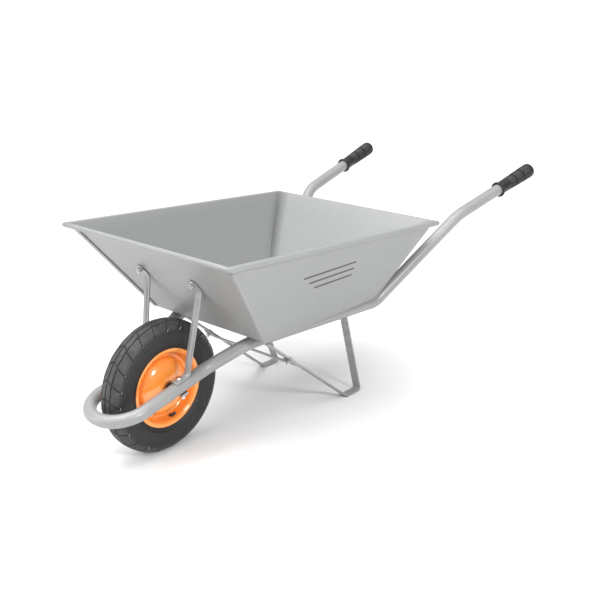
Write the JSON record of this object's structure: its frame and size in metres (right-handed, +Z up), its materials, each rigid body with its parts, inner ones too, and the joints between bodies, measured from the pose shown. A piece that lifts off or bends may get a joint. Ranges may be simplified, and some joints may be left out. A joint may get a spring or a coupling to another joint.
{
  "type": "wheelbarrow",
  "caption": "Wheelbarrow with a tapered rectangular steel tray on a bent tube frame, with a pneumatic front wheel, flat bar rear legs and ribbed hand grips.",
  "frame": {"origin": "ground level, on the centre plane, midway along the wheelbarrow's box", "axes": "+X forward towards the wheel, +Z up, +Y towards the pusher's left"},
  "size_m": [1.4202, 0.645, 0.569],
  "materials": {
    "tray_grey": "satin light grey powder coat on sheet steel",
    "frame_grey": "satin light grey powder coat on steel tube and struts",
    "leg_grey": "satin grey powder coat on flat steel bar",
    "rim_orange": "gloss orange enamel on pressed steel",
    "tyre_rubber": "matt black tyre rubber",
    "inner_rubber": "smooth black butyl rubber",
    "black_plastic": "moulded black nylon",
    "grip_plastic": "moulded black ribbed handle plastic",
    "plain_steel": "plain drawn steel",
    "zinc_steel": "bright zinc-plated steel fasteners"
  },
  "bodies": {
    "frame": {"frame_tube": "frame_grey", "axle": "plain_steel", "axle_spacer_left": "plain_steel", "axle_spacer_right": "plain_steel", "axle_bolt_left": "zinc_steel", "axle_bolt_right": "zinc_steel", "axle_washer_left": "zinc_steel", "axle_washer_right": "zinc_steel", "axle_nut_left": "zinc_steel", "axle_nut_right": "zinc_steel", "front_strut_left": "frame_grey", "front_strut_right": "frame_grey", "strut_bolt_left": "zinc_steel", "strut_bolt_right": "zinc_steel", "strut_washer_left": "zinc_steel", "strut_washer_right": "zinc_steel", "strut_nut_left": "zinc_steel", "strut_nut_right": "zinc_steel", "tray_pan": "tray_grey", "tray_side_left": "tray_grey", "tray_side_right": "tray_grey", "tray_screw_front_left": "zinc_steel", "tray_screw_front_right": "zinc_steel", "tray_screw_rear_left": "zinc_steel", "tray_screw_rear_right": "zinc_steel", "rear_leg_left": "leg_grey", "rear_leg_right": "leg_grey", "cross_brace": "leg_grey", "brace_bolt_left": "zinc_steel", "brace_bolt_right": "zinc_steel", "brace_nut_left": "zinc_steel", "brace_nut_right": "zinc_steel", "grip_left": "grip_plastic", "grip_right": "grip_plastic"},
    "wheel": {"tyre": "tyre_rubber", "inner_tube": "inner_rubber", "valve_stem": "inner_rubber", "valve_cap": "black_plastic", "rim_half_left": "rim_orange", "rim_half_right": "rim_orange", "hub_sleeve": "rim_orange", "hub_bush_left": "black_plastic", "hub_bush_right": "black_plastic"}
  },
  "joints": [
    {"name": "wheel_spin", "type": "hinge", "parent": "frame", "child": "wheel", "pos_m": [0.5064, 0, 0.165], "axis": [0, 1, 0], "continuous": true}
  ]
}
